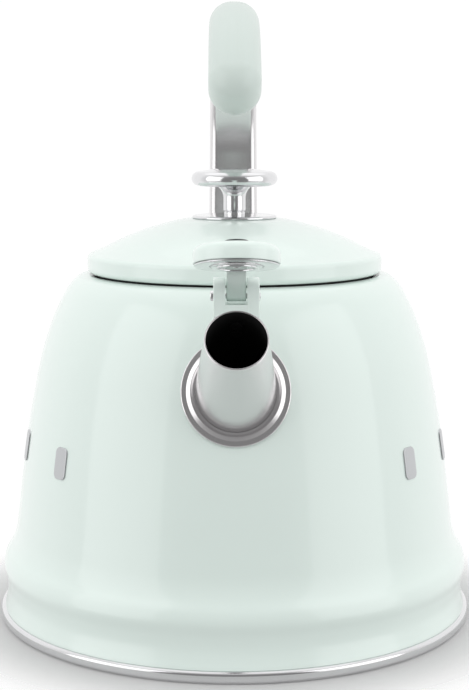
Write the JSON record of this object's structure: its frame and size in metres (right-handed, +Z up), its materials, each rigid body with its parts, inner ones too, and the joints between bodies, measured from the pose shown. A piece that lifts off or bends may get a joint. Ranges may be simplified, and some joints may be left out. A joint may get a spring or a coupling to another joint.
{
  "type": "stovetop whistling kettle",
  "caption": "Tapered enamelled steel stovetop kettle with a lift-off lid, conical steel spout closed by a hinged whistle cap, and a one-armed handle arching over the lid.",
  "frame": {"origin": "middle of the round base, on the table plane", "axes": "+Z up along the body's axis, spout and whistle towards -Y, handle arm at +Y, X across the kettle"},
  "size_m": [0.2, 0.2356, 0.258],
  "materials": {
    "body_enamel": "glossy pale mint enamel",
    "grip_paint": "satin pale mint",
    "polished_steel": "polished",
    "satin_steel": "fine satin",
    "brushed_steel": "satin",
    "inner_steel": "plain drawn steel",
    "core_aluminium": "plain",
    "seal_rubber": "matt silicone",
    "dark_plastic": "matt"
  },
  "bodies": {
    "kettle": {"body_shell": "body_enamel", "kettle_floor": "inner_steel", "base_core": "core_aluminium", "base_cap": "polished_steel", "relief_tiles_right": "brushed_steel", "relief_tiles_left": "brushed_steel", "spout_tube": "satin_steel", "spout_flange": "satin_steel", "spout_gasket": "seal_rubber", "spout_lock_ring": "inner_steel", "whistle_bracket": "body_enamel", "bracket_screws": "inner_steel", "hinge_pin": "polished_steel", "pin_retainer": "polished_steel", "handle_arm": "satin_steel", "handle_gasket": "seal_rubber", "handle_screws": "inner_steel", "handle_backing_plate": "inner_steel", "grip": "grip_paint", "grip_core": "inner_steel", "grip_screw": "inner_steel"},
    "lid": {"lid_shell": "body_enamel", "lid_liner": "inner_steel", "lid_skirt": "inner_steel", "lid_gasket": "seal_rubber", "knob_plate": "polished_steel", "knob_stem": "polished_steel", "knob_disc": "polished_steel", "knob_screw": "inner_steel", "knob_washer": "inner_steel"},
    "whistle": {"whistle_arm": "body_enamel", "whistle_cap": "body_enamel", "vent_ring": "dark_plastic", "cap_face": "polished_steel", "whistle_cup": "polished_steel", "whistle_disc_inner": "inner_steel", "whistle_disc_outer": "inner_steel", "disc_spacer": "inner_steel"}
  },
  "joints": [
    {"name": "lid_lift", "type": "slide", "parent": "kettle", "child": "lid", "axis": [0, 0, 1], "range_m": [0, 0.026]},
    {"name": "whistle_hinge", "type": "hinge", "parent": "kettle", "child": "whistle", "pos_m": [0, -0.103, 0.1461], "axis": [1, 0, 0], "range_deg": [0, 70]}
  ]
}
